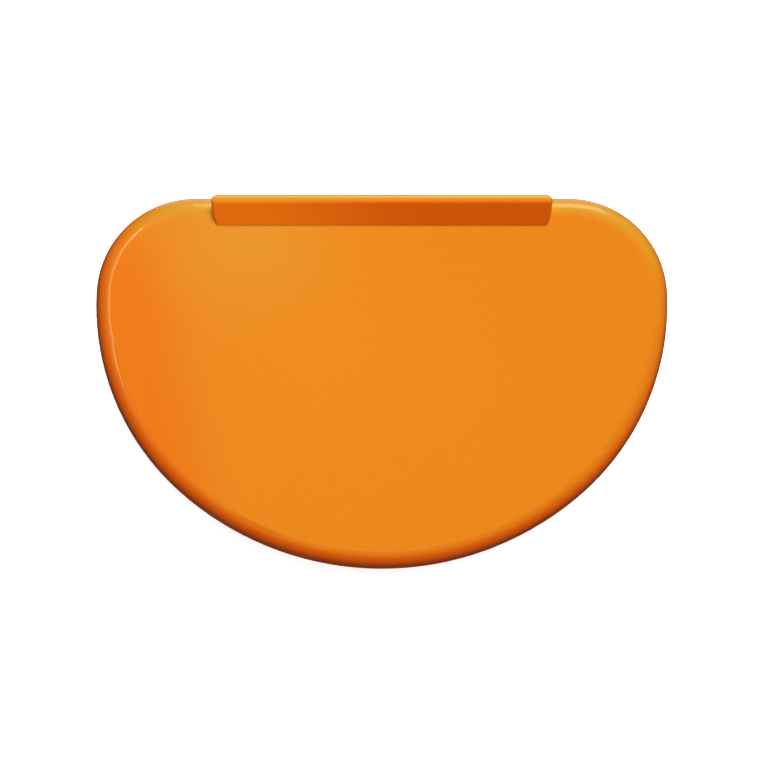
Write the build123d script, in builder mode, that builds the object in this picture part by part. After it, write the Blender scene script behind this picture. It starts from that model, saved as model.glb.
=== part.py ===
"""Hand curve with a finger lip: a D-shaped moulded drawing curve, lying flat on its riser pads.

Millimetres. +X runs along the straight edge, +Y points out of the straight edge and +Z is up,
out of the face. The origin is on the table, under the middle of the outline.

The curve is a ribbed top shell closed by a base cover. A separate finger lip sits in a pocket on the
straight edge and is drawn down by three screws, which come up through the cover into its studs.
"""

from build123d import *
from math import asin, cos, degrees, radians, sqrt, tan
import os

# Outline: three tangent arcs on each side of the middle, then the straight edge
bottom_radius = 81.0
side_radius = 66.5
corner_radius = 26.5
bottom_turn = 41.5  # degrees that each arc turns the edge through
side_turn = 51.5
corner_turn = 180.0 - bottom_turn - side_turn

# Shell and cover
pad_stand = 0.6  # height that the riser pads hold the body off the table
body_height = 7.6
rim_radius = 5.5
foot_radius = 0.5  # lower outer edge
wall = 3.0
deck = 2.4
cover_thickness = 1.8
cover_inset = 1.6
cover_gap = 0.1
rib_thickness = 1.2
rib_pitch = 13.0
rib_columns = 11
rib_rows = 7

# Finger lip
lip_length = 88.4
lip_depth = 8.05  # from the straight edge to the foot of the front face
lip_back_inset = 0.2  # its upright back, from the straight edge
lip_slope = 33.0  # degrees that the front face rises from the flat face
lip_crest_radius = 1.7
lip_end_straight = 4.2  # the ends run straight for this much of the depth, then curve inward
lip_end_radius = 8.0
lip_end_fillet = 0.8
lip_back_corner = 1.6  # corner radii, seen from above
lip_front_corner = 0.8
lip_gap = 0.05
land_length = 92.0  # solid ground under the pocket
land_depth = 13.0
stud_diameter = 4.8
stud_gap = 0.1
stud_spacing = 30.0
stud_inset = 5.2  # from the straight edge

# Screws and bosses
screw_diameter = 2.4
screw_head_diameter = 4.2
screw_head_height = 1.3
screw_recess = 0.2  # head below the cover's face
screw_gap = 0.05
screw_drive = 2.4
screw_drive_width = 0.6
screw_drive_depth = 0.7
boss_diameter = 6.2
cover_screw_length = 5.4
lip_screw_length = 7.6
cover_screw_points = [
    (0, -3 * rib_pitch),
    (3 * rib_pitch, -2 * rib_pitch),
    (-3 * rib_pitch, -2 * rib_pitch),
    (5 * rib_pitch, rib_pitch),
    (-5 * rib_pitch, rib_pitch),
]

# Riser pads
pad_diameter = 12.0
pad_thickness = 1.4
pad_gap = 0.1
pad_points = [(0, 0), (50, 26), (-50, 26), (22, -31), (-22, -31)]

# Depth of the outline, from its lowest point to the straight edge
body_depth = (
    bottom_radius
    - (bottom_radius - side_radius) * cos(radians(bottom_turn))
    - (side_radius - corner_radius) * cos(radians(bottom_turn + side_turn))
    + corner_radius
)
front_edge = -body_depth / 2
back_edge = body_depth / 2
reach = 2 * bottom_radius  # longer than anything it cuts or clips

# Levels
body_bottom = pad_stand
body_top = body_bottom + body_height
cover_top = body_bottom + cover_thickness
deck_bottom = body_top - deck
rim_start = body_top - rim_radius

# The lip is seated where its back meets the rim's round. Its apex is the top before the crest is rounded
lip_seat = rim_start + sqrt(rim_radius**2 - (rim_radius - lip_back_inset) ** 2)
lip_apex = body_top + (lip_depth - lip_back_inset) * tan(radians(lip_slope))
screw_bottom = body_bottom + screw_recess

stud_points = [(step * stud_spacing, back_edge - stud_inset) for step in (-1, 0, 1)]


def curve_outline(inset: float) -> Sketch:
    """The D outline, moved in by an inset."""
    with BuildSketch() as outline:
        with BuildLine():
            bottom = JernArc((0, front_edge), (1, 0), bottom_radius, bottom_turn)
            side = JernArc(bottom @ 1, bottom % 1, side_radius, side_turn)
            corner = JernArc(side @ 1, side % 1, corner_radius, corner_turn)
            Line(corner @ 1, (0, back_edge))
            mirror(about=Plane.YZ)
        make_face()
        if inset:
            offset(amount=-inset)
    return outline.sketch


def lip_outline(inset: float, back_corner: float, gap: float) -> Sketch:
    """The lip seen from above, its back moved in by an inset and all of it widened by a gap."""
    end_turn = degrees(asin((lip_depth - lip_end_straight) / lip_end_radius))
    with BuildSketch() as outline:
        with BuildLine():
            back = Line((0, back_edge - inset), (lip_length / 2, back_edge - inset))
            end = Line(back @ 1, (lip_length / 2, back_edge - lip_end_straight))
            curve = JernArc(end @ 1, end % 1, lip_end_radius, -end_turn)
            Line(curve @ 1, (0, back_edge - lip_depth))
            mirror(about=Plane.YZ)
        make_face()
        fillet(outline.vertices().group_by(Axis.Y)[0], radius=lip_front_corner)
        if back_corner:
            fillet(outline.vertices().group_by(Axis.Y)[-1], radius=back_corner)
        if gap:
            offset(amount=gap)
    return outline.sketch


def countersunk_screw(length: float) -> Part:
    """A self-tapping screw, head down on the XY plane, with a cross recess in its head."""
    with BuildPart() as screw:
        with BuildSketch(Plane.XZ):
            with BuildLine():
                Polyline(
                    (0, 0),
                    (screw_head_diameter / 2, 0),
                    (screw_head_diameter / 2, screw_recess),
                    (screw_diameter / 2, screw_head_height),
                    (screw_diameter / 2, length - screw_diameter / 2),
                    (0, length),
                    close=True,
                )
            make_face()
        revolve(axis=Axis.Z)
        with BuildSketch():
            Rectangle(screw_drive, screw_drive_width)
            Rectangle(screw_drive_width, screw_drive)
        extrude(amount=screw_drive_depth, mode=Mode.SUBTRACT)
    return screw.part


full_outline = curve_outline(0)
cover_outline = curve_outline(cover_inset + cover_gap)
recess_outline = curve_outline(cover_inset)
inner_outline = curve_outline(wall)
lip_plan = lip_outline(lip_back_inset, lip_back_corner, 0)
root_plan = lip_outline(0, 0, 0)
pocket_plan = lip_outline(0, 0, lip_gap)

# Outer form of the body, with its rolled rim
with BuildPart() as body_form:
    with BuildSketch(Plane.XY.offset(body_bottom)):
        add(full_outline)
    extrude(amount=body_height)
    fillet(body_form.edges().group_by(Axis.Z)[-1], radius=rim_radius)
    fillet(body_form.edges().group_by(Axis.Z)[0], radius=foot_radius)

# Top shell: face, rim and wall, open below
with BuildPart() as top_shell:
    add(body_form.part)

    # Recess for the cover, then the hollow, which leaves a solid land under the lip
    with BuildSketch(Plane.XY.offset(body_bottom)):
        add(recess_outline)
    extrude(amount=cover_thickness, mode=Mode.SUBTRACT)
    with BuildSketch(Plane.XY.offset(cover_top)):
        add(inner_outline)
        with Locations((0, back_edge)):
            Rectangle(land_length, 2 * land_depth, mode=Mode.SUBTRACT)
    extrude(amount=deck_bottom - cover_top, mode=Mode.SUBTRACT)

    # Grid of ribs, which carries the cover
    with BuildSketch(Plane.XY.offset(cover_top)):
        with GridLocations(rib_pitch, 0, rib_columns, 1):
            Rectangle(rib_thickness, reach)
        with GridLocations(0, rib_pitch, 1, rib_rows):
            Rectangle(reach, rib_thickness)
        with Locations(*cover_screw_points):
            Circle(boss_diameter / 2)
        add(inner_outline, mode=Mode.INTERSECT)
    extrude(amount=deck_bottom - cover_top)
    with BuildSketch(Plane.XY.offset(cover_top)):
        with Locations(*cover_screw_points):
            Circle(screw_diameter / 2 + screw_gap)
    extrude(amount=screw_bottom + cover_screw_length - cover_top, mode=Mode.SUBTRACT)

    # Pocket for the lip, open at the straight edge, and the holes for its studs
    with BuildSketch(Plane.XY.offset(lip_seat)):
        add(pocket_plan)
    extrude(amount=body_top - lip_seat, mode=Mode.SUBTRACT)
    with BuildSketch(Plane.XY.offset(cover_top)):
        with Locations(*stud_points):
            Circle(stud_diameter / 2 + stud_gap)
    extrude(amount=lip_seat - cover_top, mode=Mode.SUBTRACT)
top_shell.part.label = "top_shell"

# Root of the lip, which fills the pocket and is flush with the rim
with BuildPart() as lip_root:
    with BuildSketch(Plane.XY.offset(lip_seat)):
        add(root_plan)
    extrude(amount=body_top - lip_seat)
    add(body_form.part, mode=Mode.INTERSECT)

# Finger lip: an upright back, a round crest and a front face that slopes down to the flat face
with BuildPart() as finger_lip:
    with BuildSketch(Plane.XY.offset(lip_seat)):
        add(lip_plan)
    extrude(amount=lip_apex - lip_seat)
    with BuildSketch(Plane.YZ) as section:
        with BuildLine():
            Polyline(
                (back_edge - lip_back_inset, lip_seat),
                (back_edge - lip_back_inset, lip_apex),
                (back_edge - lip_depth, body_top),
                (back_edge - lip_depth, lip_seat),
                close=True,
            )
        make_face()
        fillet(section.vertices().sort_by(Axis.Y)[-1], radius=lip_crest_radius)
    extrude(amount=lip_length, both=True, mode=Mode.INTERSECT)
    end_edges = finger_lip.edges().filter_by(lambda edge: edge.center().Z > body_top)
    end_edges = end_edges.filter_by(lambda edge: abs(edge.center().X) > lip_length / 2 - lip_end_straight)
    fillet(end_edges, radius=lip_end_fillet)
    add(lip_root.part)

    # Studs, which reach down to the cover, and the holes that take the screws
    with BuildSketch(Plane.XY.offset(cover_top)):
        with Locations(*stud_points):
            Circle(stud_diameter / 2)
    extrude(amount=lip_seat - cover_top)
    with BuildSketch(Plane.XY.offset(cover_top)):
        with Locations(*stud_points):
            Circle(screw_diameter / 2 + screw_gap)
    extrude(amount=screw_bottom + lip_screw_length - cover_top, mode=Mode.SUBTRACT)
finger_lip.part.label = "finger_lip"

# Base cover: flat panel with countersunk holes and shallow seats for the pads
with BuildPart() as base_cover:
    with BuildSketch(Plane.XY.offset(body_bottom)):
        add(cover_outline)
    extrude(amount=cover_thickness)
    with BuildSketch(Plane.XY.offset(body_bottom)):
        with Locations(*pad_points):
            Circle(pad_diameter / 2 + pad_gap)
    extrude(amount=pad_thickness - pad_stand, mode=Mode.SUBTRACT)
    with BuildSketch(Plane.XY.offset(body_bottom)):
        with Locations(*cover_screw_points, *stud_points):
            Circle(screw_head_diameter / 2)
    extrude(amount=2 * screw_recess, mode=Mode.SUBTRACT)
    with Locations(*[(x, y, cover_top) for x, y in cover_screw_points + stud_points]):
        Hole(screw_diameter / 2 + screw_gap)
    with Locations(*[(x, y, body_bottom + 2 * screw_recess) for x, y in cover_screw_points + stud_points]):
        Cone(
            screw_head_diameter / 2,
            screw_diameter / 2,
            screw_head_height - screw_recess,
            align=(Align.CENTER, Align.CENTER, Align.MIN),
            mode=Mode.SUBTRACT,
        )
base_cover.part.label = "base_cover"

# Screws
cover_screw = countersunk_screw(cover_screw_length)
with BuildPart() as cover_screws:
    with Locations(*[(x, y, screw_bottom) for x, y in cover_screw_points]):
        add(cover_screw)
cover_screws.part.label = "cover_screws"

lip_screw = countersunk_screw(lip_screw_length)
with BuildPart() as lip_screws:
    with Locations(*[(x, y, screw_bottom) for x, y in stud_points]):
        add(lip_screw)
lip_screws.part.label = "lip_screws"

# Riser pads: non-slip discs, half sunk in the cover
with BuildPart() as riser_pads:
    with BuildSketch():
        with Locations(*pad_points):
            Circle(pad_diameter / 2)
    extrude(amount=pad_thickness)
riser_pads.part.label = "riser_pads"

os.makedirs("parts", exist_ok=True)
export_step(top_shell.part, "parts/top_shell.step")
export_step(finger_lip.part, "parts/finger_lip.step")
export_step(base_cover.part, "parts/base_cover.step")
export_step(cover_screws.part, "parts/cover_screws.step")
export_step(lip_screws.part, "parts/lip_screws.step")
export_step(riser_pads.part, "parts/riser_pads.step")
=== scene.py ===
"""Looks for the D-shaped drawing curve: moulded orange plastic on a pale studio floor, from straight above.

Metres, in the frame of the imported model: +X along the straight edge, +Y out of it, +Z up.
"""

from math import cos, pi, radians, sin

import bpy
from mathutils import Euler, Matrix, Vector

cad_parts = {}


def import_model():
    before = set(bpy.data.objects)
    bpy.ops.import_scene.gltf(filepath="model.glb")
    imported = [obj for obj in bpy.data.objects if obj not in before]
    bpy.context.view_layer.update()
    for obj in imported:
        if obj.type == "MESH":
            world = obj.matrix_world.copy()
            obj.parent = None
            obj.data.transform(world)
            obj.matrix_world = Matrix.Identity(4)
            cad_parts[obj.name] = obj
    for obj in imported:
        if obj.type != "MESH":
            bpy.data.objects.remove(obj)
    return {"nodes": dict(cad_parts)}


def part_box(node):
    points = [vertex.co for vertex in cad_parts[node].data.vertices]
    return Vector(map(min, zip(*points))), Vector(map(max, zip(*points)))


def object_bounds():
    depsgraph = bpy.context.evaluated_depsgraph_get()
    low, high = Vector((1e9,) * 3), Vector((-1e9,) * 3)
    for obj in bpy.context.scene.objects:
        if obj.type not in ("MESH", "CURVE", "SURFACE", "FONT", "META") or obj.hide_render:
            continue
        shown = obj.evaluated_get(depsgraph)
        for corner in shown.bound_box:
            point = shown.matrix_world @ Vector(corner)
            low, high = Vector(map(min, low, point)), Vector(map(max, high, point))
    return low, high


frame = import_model()
cad_low, cad_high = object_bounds()
nodes = frame["nodes"]

# The object's own sizes, from the frame
size = cad_high - cad_low
centre = (cad_low + cad_high) / 2
shell_low, shell_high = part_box("top_shell")
lip_end = Vector(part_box("finger_lip")[0])  # the corner of the lip's box at its left end
face_middle = Vector((centre.x, centre.y, shell_high.z))

# Camera: straight down, over the middle of the outline but for a small slip aside
LENS_MM = 50.0
SENSOR_MM = 36.0
VIEW_PER_WIDTH = 1.33  # the frame is this many times as wide as the object
CAMERA_ASIDE = -0.0049  # of the object's width
CAMERA_BEHIND = 0.0126  # of the object's depth
RIM_LEVEL = 0.28  # of the shell's height, where its outline is widest

# The key light. Azimuth runs from +Y towards +X and elevation is above the horizon, both in degrees
KEY_AZIMUTH = 16.0
KEY_ELEVATION = 50.0

# Colours, linear
ORANGE = (0.709, 0.236, 0.0092, 1.0)  # the flat face
RED_ORANGE = (0.748, 0.170, 0.0034, 1.0)
# Painted light: the yellower pool behind and left of the middle of the face, where more light falls
YELLOW_ORANGE = (0.662, 0.277, 0.0200, 1.0)
FLECK = (0.650, 0.150, 0.0060, 1.0)
# Painted shade: the colour of rounded edges turned away from the key light
SHELL_PAINTED_SHADE = (0.760, 0.100, 0.0020, 1.0)
# Painted shade, darker still: the colour of steep edges turned away from the key light
STEEP_PAINTED_SHADE = (0.400, 0.045, 0.0010, 1.0)
# Painted shade on the lip where it turns away from the key light, and a lighter copy of it near the lip's
# left end, where more light falls
LIP_PAINTED_SHADE = (0.875, 0.129, 0.0014, 1.0)
LIP_PAINTED_SHADE_LIT = (0.990, 0.205, 0.0040, 1.0)
# Painted highlight: rounded edges turned towards the key light are paler
RIM_PAINTED_HIGHLIGHT = (0.600, 0.275, 0.0180, 1.0)
COVER_ORANGE = (0.72, 0.190, 0.0080, 1.0)
COVER_SCUFF = (0.78, 0.290, 0.0300, 1.0)
STEEL = (0.62, 0.61, 0.58, 1.0)
STEEL_DULL = (0.45, 0.44, 0.41, 1.0)
RUBBER = (0.022, 0.022, 0.024, 1.0)
RUBBER_DUST = (0.060, 0.058, 0.055, 1.0)
FLOOR_WHITE = (0.93, 0.93, 0.93, 1.0)
FLOOR_GLOW = (0.94, 0.98, 1.0, 1.0)
WHITE = (1.0, 1.0, 1.0)
WARM = (1.0, 0.85, 0.75)
GREENISH = (0.8, 1.0, 0.75)  # on orange plastic it looks pale yellow
YELLOWISH = (0.8, 1.0, 0.45)

# Where the colour changes: the red band beside the left edge, the painted pool of light behind and left of
# the middle, and the lighter end of the lip's painted shade. Parts of the object's width, from its middle
BAND_SLANT = 0.2  # the red band's boundary leans by this much for each unit along +Y
BAND_FULL = -0.40
BAND_END = -0.27
BAND_FADE_FROM = 0.19
BAND_FADE_TO = 0.33
PAINTED_LIGHT_PLACE = (-0.23, 0.26, 0.0)
PAINTED_LIGHT_REACH = 0.22
# Within the first reach of the lip's left end its painted shade is the lighter copy, where more light falls;
# beyond the second it is full
LIP_LIT_SHADE_REACH = 0.10  # from the lip's left end
LIP_FULL_SHADE_FROM = 0.32

# How a rounded edge gets painted shade and a painted highlight, and changes gloss. The first four are
# parts of how squarely a level face meets the key light, and the others are the upward part of the
# surface's direction
DEEP_FROM = 1.0
DEEP_FULL = 0.58
PALE_FROM = 1.05
PALE_FULL = 1.24
STEEP_FROM = 0.80
STEEP_FULL = 0.35
UNDERSIDE_FROM = -0.4
UNDERSIDE_FULL = -0.8
LEVEL_FROM = 0.975
LEVEL_FULL = 0.998

# Spans of a noise's value: all of its middle, or only its peaks
SOFT = (0.3, 0.7)
WIDE = (0.25, 0.75)
CLOUDED = (0.4, 0.65)
DUSTED = (0.48, 0.72)
SCUFFED = (0.56, 0.74)
PEAKS = (0.62, 0.72)


def direction(azimuth, elevation):
    """The unit vector towards a light."""
    flat = cos(radians(elevation))
    return Vector((sin(radians(azimuth)) * flat, cos(radians(azimuth)) * flat, sin(radians(elevation))))


class Material:
    """A new node material with a Principled shader, and short ways to add and link nodes."""

    def __init__(self, name):
        self.material = bpy.data.materials.new(name)
        self.material.use_nodes = True
        self.tree = self.material.node_tree
        self.shader = self.tree.nodes["Principled BSDF"]
        self.place = self.node("ShaderNodeTexCoord")

    def node(self, kind, **settings):
        made = self.tree.nodes.new(kind)
        for name, value in settings.items():
            setattr(made, name, value)
        return made

    def link(self, source, target):
        self.tree.links.new(source, target)

    def set(self, **values):
        """Sets the shader's own sockets: Base_Color=... for the socket Base Color."""
        for name, value in values.items():
            self.shader.inputs[name.replace("_", " ")].default_value = value

    def drive(self, **sources):
        """Links what varies over the surface to the shader's sockets, named as in set."""
        for name, source in sources.items():
            self.link(source, self.shader.inputs[name.replace("_", " ")])

    def noise(self, scale, detail, roughness=0.5, stretch=(1.0, 1.0, 1.0)):
        mapping = self.node("ShaderNodeMapping")
        mapping.inputs["Scale"].default_value = stretch
        self.link(self.place.outputs["Object"], mapping.inputs["Vector"])
        noise = self.node("ShaderNodeTexNoise")
        noise.inputs["Scale"].default_value = scale
        noise.inputs["Detail"].default_value = detail
        noise.inputs["Roughness"].default_value = roughness
        self.link(mapping.outputs["Vector"], noise.inputs["Vector"])
        return noise.outputs["Fac"]

    def along(self, output, towards):
        """The component of the surface's Normal, or of its place (Object), in a fixed direction."""
        made = self.node("ShaderNodeVectorMath", operation="DOT_PRODUCT")
        self.link(self.place.outputs[output], made.inputs[0])
        made.inputs[1].default_value = towards
        return made.outputs["Value"]

    def distance(self, point):
        made = self.node("ShaderNodeVectorMath", operation="DISTANCE")
        self.link(self.place.outputs["Object"], made.inputs[0])
        made.inputs[1].default_value = point
        return made.outputs["Value"]

    def remap(self, value, span, to=(0.0, 1.0), smooth=False):
        """Turns one span of values into another, and holds the ends beyond it."""
        made = self.node("ShaderNodeMapRange")
        if smooth:
            made.interpolation_type = "SMOOTHSTEP"
        self.link(value, made.inputs["Value"])
        made.inputs["From Min"].default_value, made.inputs["From Max"].default_value = span
        made.inputs["To Min"].default_value, made.inputs["To Max"].default_value = to
        return made.outputs["Result"]

    def arithmetic(self, operation, first, second):
        made = self.node("ShaderNodeMath", operation=operation)
        self.link(first, made.inputs[0])
        self.link(second, made.inputs[1])
        return made.outputs["Value"]

    def mix(self, factor, first, second):
        made = self.node("ShaderNodeMix", data_type="RGBA")
        self.link(factor, made.inputs["Factor"])
        for socket, value in (("A", first), ("B", second)):
            target = next(s for s in made.inputs if s.name == socket and s.type == "RGBA")
            if isinstance(value, tuple):
                target.default_value = value
            else:
                self.link(value, target)
        return next(s for s in made.outputs if s.type == "RGBA")

    def bump(self, height, strength, distance, below=None):
        made = self.node("ShaderNodeBump")
        made.inputs["Strength"].default_value = strength
        made.inputs["Distance"].default_value = distance
        self.link(height, made.inputs["Height"])
        if below:
            self.link(below, made.inputs["Normal"])
        self.drive(Normal=made.outputs["Normal"])
        return made.outputs["Normal"]


def painted_light_patch(made):
    """Where the painted pool of light lies: 1 at a place behind and left of the middle of the face, falling
    to 0 around it.
    """
    point = face_middle + Vector(PAINTED_LIGHT_PLACE) * size.x
    return made.remap(made.distance(point), (0.0, PAINTED_LIGHT_REACH * size.x), (1.0, 0.0), smooth=True)


def left_band(made):
    """1 beside the left edge, falling to 0 across a slanted line, and fading out towards the shoulder."""
    slanted = made.along("Object", (1.0, BAND_SLANT, 0.0))
    middle = centre.x + BAND_SLANT * centre.y
    across = (middle + BAND_FULL * size.x, middle + BAND_END * size.x)
    behind = made.along("Object", (0.0, 1.0, 0.0))
    fade = (centre.y + BAND_FADE_FROM * size.x, centre.y + BAND_FADE_TO * size.x)
    beside = made.remap(slanted, across, (1.0, 0.0), smooth=True)
    before = made.remap(behind, fade, (1.0, 0.0), smooth=True)
    return made.arithmetic("MULTIPLY", beside, before)


def gloss_plastic(name, shade_colour, lit_shade_colour, steep_shade_colour):
    """Satin-gloss orange plastic.

    The face is redder beside the left edge, and has a yellower painted pool of light behind and left of the
    middle. A rounded edge has painted shade, deeper and redder, where it turns away from the key light:
    lighter near the lip's left end, where more light falls, and the steep painted shade where it is steep.
    It has a painted highlight, paler, where it turns to the key light. Faces turned down keep the face's
    colour. The skin is slightly wavy, with a fine grain, and streaks that only dull the gloss. A level face
    is duller than the rounded edges and has no clear coat.
    """
    made = Material(name)
    key = direction(KEY_AZIMUTH, KEY_ELEVATION)
    level = key.z  # how squarely a level face meets the key light
    facing = made.along("Normal", key)
    upward = made.along("Normal", (0.0, 0.0, 1.0))

    clouds = made.remap(made.noise(scale=16.0, detail=2.0), SOFT, (0.0, 0.12))
    grain = made.remap(made.noise(scale=1700.0, detail=1.0), WIDE, (0.0, 0.45))
    face = made.mix(clouds, ORANGE, RED_ORANGE)
    face = made.mix(left_band(made), face, RED_ORANGE)
    # Painted light: a yellower pool behind and left of the middle of the face
    face = made.mix(painted_light_patch(made), face, YELLOW_ORANGE)
    face = made.mix(grain, face, FLECK)

    # Painted shade: lighter near the lip's left end where more light falls, and the steep painted shade
    # where the surface is steep
    reach = (LIP_LIT_SHADE_REACH * size.x, LIP_FULL_SHADE_FROM * size.x)
    painted_shade = made.mix(made.remap(made.distance(lip_end), reach), lit_shade_colour, shade_colour)
    painted_shade = made.mix(grain, painted_shade, RED_ORANGE)
    painted_shade = made.mix(made.remap(upward, (STEEP_FROM, STEEP_FULL)), painted_shade, steep_shade_colour)

    # Painted shade where the surface turns away from the key light, painted highlight where it turns to it
    colour = made.mix(made.remap(facing, (DEEP_FROM * level, DEEP_FULL * level)), face, painted_shade)
    colour = made.mix(made.remap(facing, (PALE_FROM * level, PALE_FULL * level)), colour, RIM_PAINTED_HIGHLIGHT)
    # Faces turned down keep the face's colour, without painted shade or highlight
    colour = made.mix(made.remap(upward, (UNDERSIDE_FROM, UNDERSIDE_FULL)), colour, face)

    hairs = made.noise(scale=500.0, detail=2.0, stretch=(1.0, 0.06, 1.0))
    streaks = made.remap(hairs, PEAKS, (0.0, 0.04))
    satin = made.remap(made.noise(scale=60.0, detail=4.0), SOFT, (0.28, 0.34))
    dull = made.remap(upward, (LEVEL_FROM, LEVEL_FULL), (0.0, 0.30))
    roughness = made.arithmetic("ADD", made.arithmetic("ADD", streaks, satin), dull)
    coat = made.remap(upward, (LEVEL_FROM, LEVEL_FULL), (0.5, 0.0))
    made.drive(Base_Color=colour, Roughness=roughness, Coat_Weight=coat)
    made.bump(made.noise(scale=260.0, detail=1.0), strength=0.06, distance=0.0002)
    made.set(IOR=1.5, Specular_IOR_Level=0.4, Coat_Roughness=0.08)
    return made.material


def matt_plastic(name):
    """The cover: orange plastic with a fine spark-eroded grain, scuffed by sliding about on a board."""
    made = Material(name)
    worn = 0.7
    streaks = made.noise(scale=70.0, detail=6.0, roughness=0.7, stretch=(1.0, 0.25, 1.0))
    scuffs = made.remap(streaks, SCUFFED, (0.0, worn))
    grain = made.remap(made.noise(scale=900.0, detail=3.0, roughness=0.6), SOFT, (0.0, 0.35))
    colour = made.mix(scuffs, made.mix(grain, COVER_ORANGE, RED_ORANGE), COVER_SCUFF)
    made.drive(Base_Color=colour, Roughness=made.remap(scuffs, (0.0, worn), (0.62, 0.42)))
    erosion = made.noise(scale=2200.0, detail=3.0, roughness=0.6)
    eroded = made.bump(erosion, strength=0.35, distance=0.0001)
    made.bump(made.noise(scale=30.0, detail=1.0), strength=0.15, distance=0.0004, below=eroded)
    made.set(IOR=1.5, Specular_IOR_Level=0.4)
    return made.material


def zinc_steel(name):
    """Screws: bright zinc over steel, dulled in patches and turned by the driver."""
    made = Material(name)
    dulling = made.remap(made.noise(scale=900.0, detail=4.0, roughness=0.6), CLOUDED)
    made.drive(Base_Color=made.mix(dulling, STEEL, STEEL_DULL))
    made.drive(Roughness=made.remap(dulling, (0.0, 1.0), (0.24, 0.46)))
    turning = made.noise(scale=4000.0, detail=3.0, roughness=0.6, stretch=(1.0, 0.2, 1.0))
    made.bump(turning, strength=0.2, distance=0.00005)
    made.set(Metallic=1.0)
    return made.material


def pad_rubber(name):
    """Riser pads: matt black rubber with a fine pebbled skin and some dust from the board."""
    made = Material(name)
    dusty = 0.8
    dust = made.remap(made.noise(scale=160.0, detail=6.0, roughness=0.7), DUSTED, (0.0, dusty))
    made.drive(Base_Color=made.mix(dust, RUBBER, RUBBER_DUST))
    made.drive(Roughness=made.remap(dust, (0.0, dusty), (0.66, 0.88)))
    made.bump(made.noise(scale=1400.0, detail=2.0), strength=0.4, distance=0.0002)
    made.set(IOR=1.52, Specular_IOR_Level=0.35)
    return made.material


def assign(name, material):
    nodes[name].material_slots[0].material = material


def put(obj):
    bpy.context.scene.collection.objects.link(obj)
    return obj


def sun(name, azimuth, elevation, angle, strength, colour):
    """A soft distant light."""
    data = bpy.data.lights.new(name, "SUN")
    data.energy, data.color, data.angle = strength, colour, radians(angle)
    light = put(bpy.data.objects.new(name, data))
    light.rotation_euler = Euler((radians(elevation - 90.0), 0, radians(-azimuth)), "XYZ")
    light.visible_glossy = False
    data.cycles.use_multiple_importance_sampling = False  # otherwise some of it still shows in the gloss


def spot(name, place, target, cone, power, softness):
    """A soft pool of light.

    Its place, target and softness are parts of the object's width, from the middle of the face.
    """
    data = bpy.data.lights.new(name, "SPOT")
    data.energy, data.spot_size, data.spot_blend = power, radians(cone), 1.0
    data.shadow_soft_size = softness * size.x
    light = put(bpy.data.objects.new(name, data))
    light.location = face_middle + Vector(place) * size.x
    light.rotation_euler = (Vector(target) - Vector(place)).to_track_quat("-Z", "Y").to_euler()
    light.visible_glossy = False
    data.cycles.use_multiple_importance_sampling = False


def reflector(name, place, lean, turn, across, high, radiance, colour):
    """A panel of light that only shows in the gloss. Its place and size are parts of the object's width.

    It faces down, and then leans about X and turns about Y, in degrees.
    """
    data = bpy.data.lights.new(name, "AREA")
    data.shape = "RECTANGLE"
    data.size, data.size_y, data.color = across * size.x, high * size.x, colour
    data.energy = radiance * pi * data.size * data.size_y
    light = put(bpy.data.objects.new(name, data))
    light.location = face_middle + Vector(place) * size.x
    light.rotation_euler = (radians(lean), radians(turn), 0)
    light.visible_diffuse = False
    light.visible_camera = False


def floor(half):
    """Pale paper that glows, so that shadows stay faint. From below it is clear."""
    mesh = bpy.data.meshes.new("floor")
    corners = [(-half, -half, 0), (half, -half, 0), (half, half, 0), (-half, half, 0)]
    mesh.from_pydata(corners, [], [(0, 1, 2, 3)])
    plane = put(bpy.data.objects.new("floor", mesh))
    made = Material("floor_paper")
    made.set(Base_Color=FLOOR_WHITE, Roughness=0.9, Specular_IOR_Level=0.0)
    made.set(Emission_Color=FLOOR_GLOW, Emission_Strength=0.80)
    side = made.node("ShaderNodeNewGeometry")
    clear = made.node("ShaderNodeBsdfTransparent")
    either = made.node("ShaderNodeMixShader")
    made.link(side.outputs["Backfacing"], either.inputs["Fac"])
    made.link(made.shader.outputs["BSDF"], either.inputs[1])
    made.link(clear.outputs["BSDF"], either.inputs[2])
    made.link(either.outputs["Shader"], made.tree.nodes["Material Output"].inputs["Surface"])
    plane.data.materials.append(made.material)
    plane.visible_diffuse = False
    plane.visible_glossy = False
    plane.visible_shadow = False


def camera():
    data = bpy.data.cameras.new("camera")
    data.lens = LENS_MM
    data.sensor_width = SENSOR_MM
    made = put(bpy.data.objects.new("camera", data))
    rise = VIEW_PER_WIDTH * size.x * LENS_MM / SENSOR_MM
    rim = shell_low.z + RIM_LEVEL * (shell_high.z - shell_low.z)
    made.location = (
        centre.x + CAMERA_ASIDE * size.x,
        centre.y + CAMERA_BEHIND * size.y,
        rim + rise,
    )
    bpy.context.scene.camera = made


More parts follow.
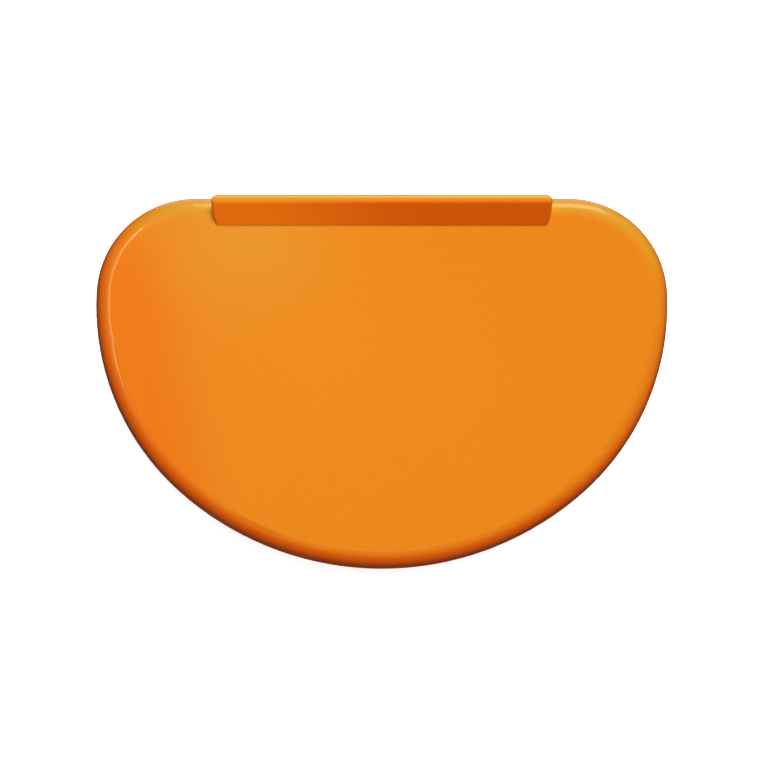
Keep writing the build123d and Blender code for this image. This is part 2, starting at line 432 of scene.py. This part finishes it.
def world(fill, fill_strength, backdrop):
    """A dim fill all round for the object, and a pale backdrop for the camera."""
    made = bpy.data.worlds.new("studio")
    made.use_nodes = True
    tree = made.node_tree
    dim = tree.nodes["Background"]
    dim.inputs["Color"].default_value = (*fill, 1.0)
    dim.inputs["Strength"].default_value = fill_strength
    pale = tree.nodes.new("ShaderNodeBackground")
    pale.inputs["Color"].default_value = (*backdrop, 1.0)
    path = tree.nodes.new("ShaderNodeLightPath")
    either = tree.nodes.new("ShaderNodeMixShader")
    tree.links.new(path.outputs["Is Camera Ray"], either.inputs["Fac"])
    tree.links.new(dim.outputs["Background"], either.inputs[1])
    tree.links.new(pale.outputs["Background"], either.inputs[2])
    tree.links.new(either.outputs["Shader"], tree.nodes["World Output"].inputs["Surface"])
    bpy.context.scene.world = made


camera()

# Materials
steel = zinc_steel("screw_steel")
# The shell and the lip get painted shade and a painted highlight on their rounded edges
assign("top_shell", gloss_plastic("shell_plastic", SHELL_PAINTED_SHADE, SHELL_PAINTED_SHADE, STEEP_PAINTED_SHADE))
assign("finger_lip", gloss_plastic("lip_plastic", LIP_PAINTED_SHADE, LIP_PAINTED_SHADE_LIT, LIP_PAINTED_SHADE))
assign("base_cover", matt_plastic("cover_plastic"))
assign("cover_screws", steel)
assign("lip_screws", steel)
assign("riser_pads", pad_rubber("pad_rubber"))

# Studio
bpy.context.scene.view_settings.view_transform = "Standard"
floor(half=20 * size.x)
world(fill=WARM, fill_strength=0.05, backdrop=WHITE)
sun("key", KEY_AZIMUTH, KEY_ELEVATION, angle=30.0, strength=4.2, colour=WHITE)
sun("front_fill", azimuth=185.0, elevation=35.0, angle=40.0, strength=0.75, colour=WARM)
sun("under_fill", azimuth=200.0, elevation=-55.0, angle=40.0, strength=3.4, colour=WHITE)
spot(
    "lip_pool",
    place=(0.55, -0.75, 0.55),
    target=(-0.25, 0.30, 0.0),
    cone=20.0,
    power=0.36,
    softness=0.2,
)
reflector(
    "under_panel",
    place=(0.0, 3.6, -2.6),
    lean=-125.0,
    turn=0.0,
    across=5.0,
    high=3.0,
    radiance=0.6,
    colour=WHITE,
)
reflector(
    "back_panel",
    place=(0.9, 4.6, 1.1),
    lean=-75.0,
    turn=0.0,
    across=4.0,
    high=2.2,
    radiance=3.2,
    colour=GREENISH,
)
reflector(
    "left_strip",
    place=(-2.3, 0.9, 3.0),
    lean=0.0,
    turn=-38.0,
    across=0.34,
    high=2.5,
    radiance=17.0,
    colour=YELLOWISH,
)
